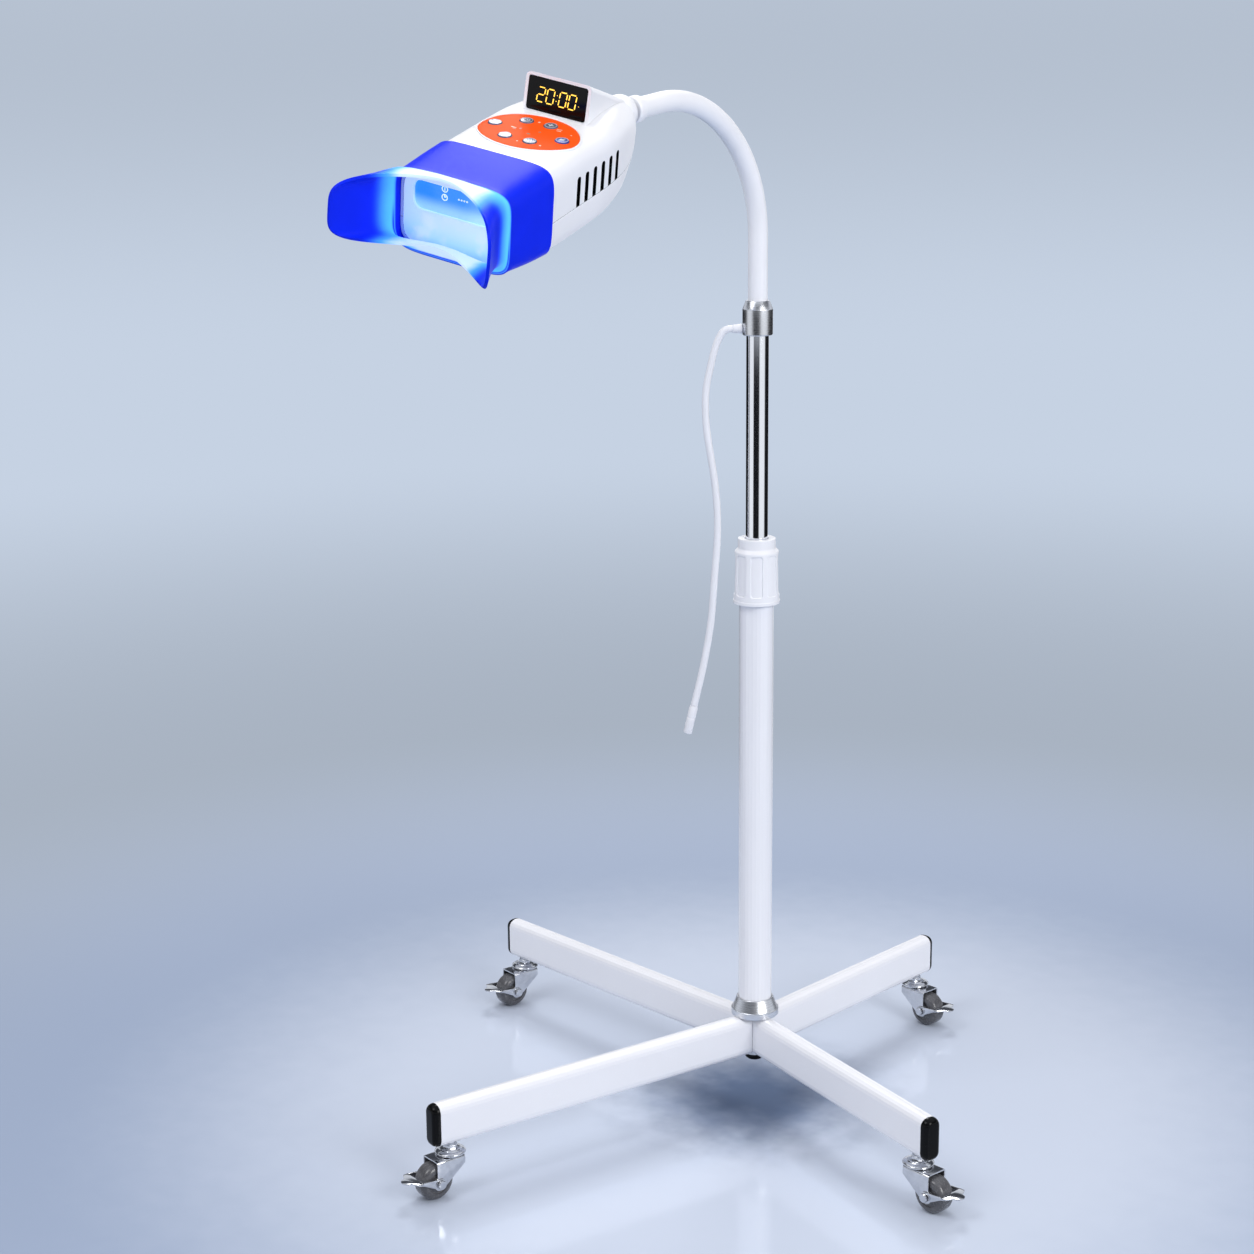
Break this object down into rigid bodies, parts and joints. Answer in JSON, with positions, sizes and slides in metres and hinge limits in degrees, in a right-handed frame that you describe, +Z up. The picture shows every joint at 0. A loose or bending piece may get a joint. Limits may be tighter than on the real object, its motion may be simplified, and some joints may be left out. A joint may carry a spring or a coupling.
{
  "type": "teeth whitening lamp",
  "caption": "Teeth whitening lamp on a wheeled four-leg stand with a sliding mast, a flexible neck and a tilting head with a display, vents and a blue mouth guard.",
  "frame": {"origin": "on the floor, under the middle of the footprint of everything but the power lead", "axes": "+Z up along the pole, -Y the way the lamp head looks, +X to the right of the head seen from behind its display"},
  "size_m": [0.7234, 0.8818, 1.0746],
  "materials": {
    "white_paint": "glossy white powder coat",
    "white_plastic": "satin white",
    "chrome": "polished",
    "zinc_steel": "bright zinc plate",
    "black_plastic": "satin black",
    "dark_wheel": "dark grey, glossy",
    "display_black": "black window with amber digits",
    "panel_orange": "printed orange membrane",
    "button_grey": "blue-grey",
    "button_blue": "deep blue",
    "board_green": "green lacquer",
    "guard_blue": "clear deep blue",
    "light_white": "white, lit from behind",
    "lens_blue": "lit blue pane",
    "lead_white": "white sheath"
  },
  "bodies": {
    "base": {"leg_front": "white_paint", "leg_left": "white_paint", "leg_rear": "white_paint", "leg_right": "white_paint", "leg_cap_front": "black_plastic", "leg_cap_left": "black_plastic", "leg_cap_rear": "black_plastic", "leg_cap_right": "black_plastic", "hub_core": "zinc_steel", "hub_plug": "black_plastic", "base_flange": "chrome", "outer_tube": "white_paint", "tube_bush": "white_plastic", "clamp_collet": "white_plastic", "caster_stem_front": "zinc_steel", "caster_stem_left": "zinc_steel", "caster_stem_rear": "zinc_steel", "caster_stem_right": "zinc_steel"},
    "nut": {"clamp_nut": "white_plastic"},
    "glide": {"mast_glide": "black_plastic"},
    "mast": {"inner_tube": "chrome", "top_collar": "chrome", "cord_grommet": "white_plastic", "power_lead": "lead_white", "lead_connector": "lead_white", "gooseneck_lower": "white_plastic"},
    "neck_middle": {"gooseneck_middle": "white_plastic"},
    "neck_end": {"gooseneck_upper": "white_plastic"},
    "ball_stud": {"neck_ball_stud": "white_plastic"},
    "head": {"neck_dome": "white_plastic", "head_upper_shell": "white_plastic", "head_lower_shell": "white_plastic", "display_hood": "white_plastic", "display_window": "display_black", "control_panel": "panel_orange", "control_board": "board_green", "light_frame": "light_white", "light_pane": "lens_blue", "led_board": "board_green", "fan_frame": "black_plastic"},
    "fan": {"fan_rotor": "black_plastic"},
    "guard": {"mouth_guard": "guard_blue"},
    "button_mode": {"button_mode": "button_grey"},
    "button_minus": {"button_minus": "button_grey"},
    "button_time": {"button_time": "button_grey"},
    "button_plus": {"button_plus": "button_grey"},
    "button_light": {"button_light": "button_grey"},
    "button_start": {"button_start": "button_blue"},
    "caster_front": {"caster_fork_front": "zinc_steel"},
    "wheel_front": {"caster_wheel_front": "dark_wheel"},
    "brake_front": {"caster_brake_front": "zinc_steel"},
    "caster_left": {"caster_fork_left": "zinc_steel"},
    "wheel_left": {"caster_wheel_left": "dark_wheel"},
    "brake_left": {"caster_brake_left": "zinc_steel"},
    "caster_rear": {"caster_fork_rear": "zinc_steel"},
    "wheel_rear": {"caster_wheel_rear": "dark_wheel"},
    "brake_rear": {"caster_brake_rear": "zinc_steel"},
    "caster_right": {"caster_fork_right": "zinc_steel"},
    "wheel_right": {"caster_wheel_right": "dark_wheel"},
    "brake_right": {"caster_brake_right": "zinc_steel"}
  },
  "joints": [
    {"name": "clamp_turn", "type": "hinge", "parent": "base", "child": "nut", "pos_m": [0.03508, 0.13133, 0.5433], "axis": [0, 0, 1], "range_deg": [0, 180]},
    {"name": "mast_slide", "type": "slide", "parent": "base", "child": "glide", "axis": [0, 0, 1], "range_m": [-0.2, 0.11]},
    {"name": "mast_turn", "type": "hinge", "parent": "glide", "child": "mast", "pos_m": [0.03508, 0.13133, 0.3653], "axis": [0, 0, 1], "range_deg": [-180, 180]},
    {"name": "gooseneck_bend_low", "type": "hinge", "parent": "mast", "child": "neck_middle", "pos_m": [0.03508, 0.12737, 0.94422], "axis": [1, 0, 0], "range_deg": [-25, 25]},
    {"name": "gooseneck_bend_high", "type": "hinge", "parent": "neck_middle", "child": "neck_end", "pos_m": [0.03508, 0.04803, 1.0355], "axis": [1, 0, 0], "range_deg": [-25, 25]},
    {"name": "head_roll", "type": "hinge", "parent": "neck_end", "child": "ball_stud", "pos_m": [0.03508, -0.07923, 1.03564], "axis": [0, 0.9903, 0.1392], "range_deg": [-90, 90]},
    {"name": "head_tilt", "type": "hinge", "parent": "ball_stud", "child": "head", "pos_m": [0.03508, -0.07923, 1.03564], "axis": [0.9453, 0.2378, -0.2234], "range_deg": [-20, 20]},
    {"name": "guard_pull", "type": "slide", "parent": "head", "child": "guard", "axis": [0.1757, -0.948, -0.2656], "range_m": [0, 0.06]},
    {"name": "fan_spin", "type": "hinge", "parent": "head", "child": "fan", "pos_m": [0.0511, -0.16568, 1.01142], "axis": [0.1757, -0.948, -0.2656], "continuous": true},
    {"name": "button_mode_press", "type": "slide", "parent": "head", "child": "button_mode", "axis": [-0.2749, 0.2118, -0.9378], "range_m": [0, 0.0006], "stiffness_N_per_m": 600},
    {"name": "button_minus_press", "type": "slide", "parent": "head", "child": "button_minus", "axis": [-0.2749, 0.2118, -0.9378], "range_m": [0, 0.0006], "stiffness_N_per_m": 600},
    {"name": "button_time_press", "type": "slide", "parent": "head", "child": "button_time", "axis": [-0.2749, 0.2118, -0.9378], "range_m": [0, 0.0006], "stiffness_N_per_m": 600},
    {"name": "button_plus_press", "type": "slide", "parent": "head", "child": "button_plus", "axis": [-0.2749, 0.2118, -0.9378], "range_m": [0, 0.0006], "stiffness_N_per_m": 600},
    {"name": "button_light_press", "type": "slide", "parent": "head", "child": "button_light", "axis": [-0.2749, 0.2118, -0.9378], "range_m": [0, 0.0006], "stiffness_N_per_m": 600},
    {"name": "button_start_press", "type": "slide", "parent": "head", "child": "button_start", "axis": [-0.2749, 0.2118, -0.9378], "range_m": [0, 0.0006], "stiffness_N_per_m": 600},
    {"name": "caster_swivel_front", "type": "hinge", "parent": "base", "child": "caster_front", "pos_m": [-0.06603, -0.23082, 0], "axis": [0, 0, 1], "continuous": true},
    {"name": "wheel_spin_front", "type": "hinge", "parent": "caster_front", "child": "wheel_front", "pos_m": [-0.07029, -0.25087, 0.0185], "axis": [0.9781, -0.2079, 0], "continuous": true},
    {"name": "brake_press_front", "type": "hinge", "parent": "caster_front", "child": "brake_front", "pos_m": [-0.07029, -0.25087, 0.0185], "axis": [0.9781, -0.2079, 0], "range_deg": [0, 20]},
    {"name": "caster_swivel_left", "type": "hinge", "parent": "base", "child": "caster_left", "pos_m": [-0.33795, 0.17845, 0], "axis": [0, 0, 1], "continuous": true},
    {"name": "wheel_spin_left", "type": "hinge", "parent": "caster_left", "child": "wheel_left", "pos_m": [-0.34222, 0.1584, 0.0185], "axis": [0.9781, -0.2079, 0], "continuous": true},
    {"name": "brake_press_left", "type": "hinge", "parent": "caster_left", "child": "brake_left", "pos_m": [-0.34222, 0.1584, 0.0185], "axis": [0.9781, -0.2079, 0], "range_deg": [0, 20]},
    {"name": "caster_swivel_rear", "type": "hinge", "parent": "base", "child": "caster_rear", "pos_m": [0.0506, 0.41791, 0], "axis": [0, 0, 1], "continuous": true},
    {"name": "wheel_spin_rear", "type": "hinge", "parent": "caster_rear", "child": "wheel_rear", "pos_m": [0.0709, 0.41506, 0.0185], "axis": [0.1392, 0.9903, 0], "continuous": true},
    {"name": "brake_press_rear", "type": "hinge", "parent": "caster_rear", "child": "brake_rear", "pos_m": [0.0709, 0.41506, 0.0185], "axis": [0.1392, 0.9903, 0], "range_deg": [0, 20]},
    {"name": "caster_swivel_right", "type": "hinge", "parent": "base", "child": "caster_right", "pos_m": [0.30528, 0.03458, 0], "axis": [0, 0, 1], "continuous": true},
    {"name": "wheel_spin_right", "type": "hinge", "parent": "caster_right", "child": "wheel_right", "pos_m": [0.32558, 0.03173, 0.0185], "axis": [0.1392, 0.9903, 0], "continuous": true},
    {"name": "brake_press_right", "type": "hinge", "parent": "caster_right", "child": "brake_right", "pos_m": [0.32558, 0.03173, 0.0185], "axis": [0.1392, 0.9903, 0], "range_deg": [0, 20]}
  ]
}
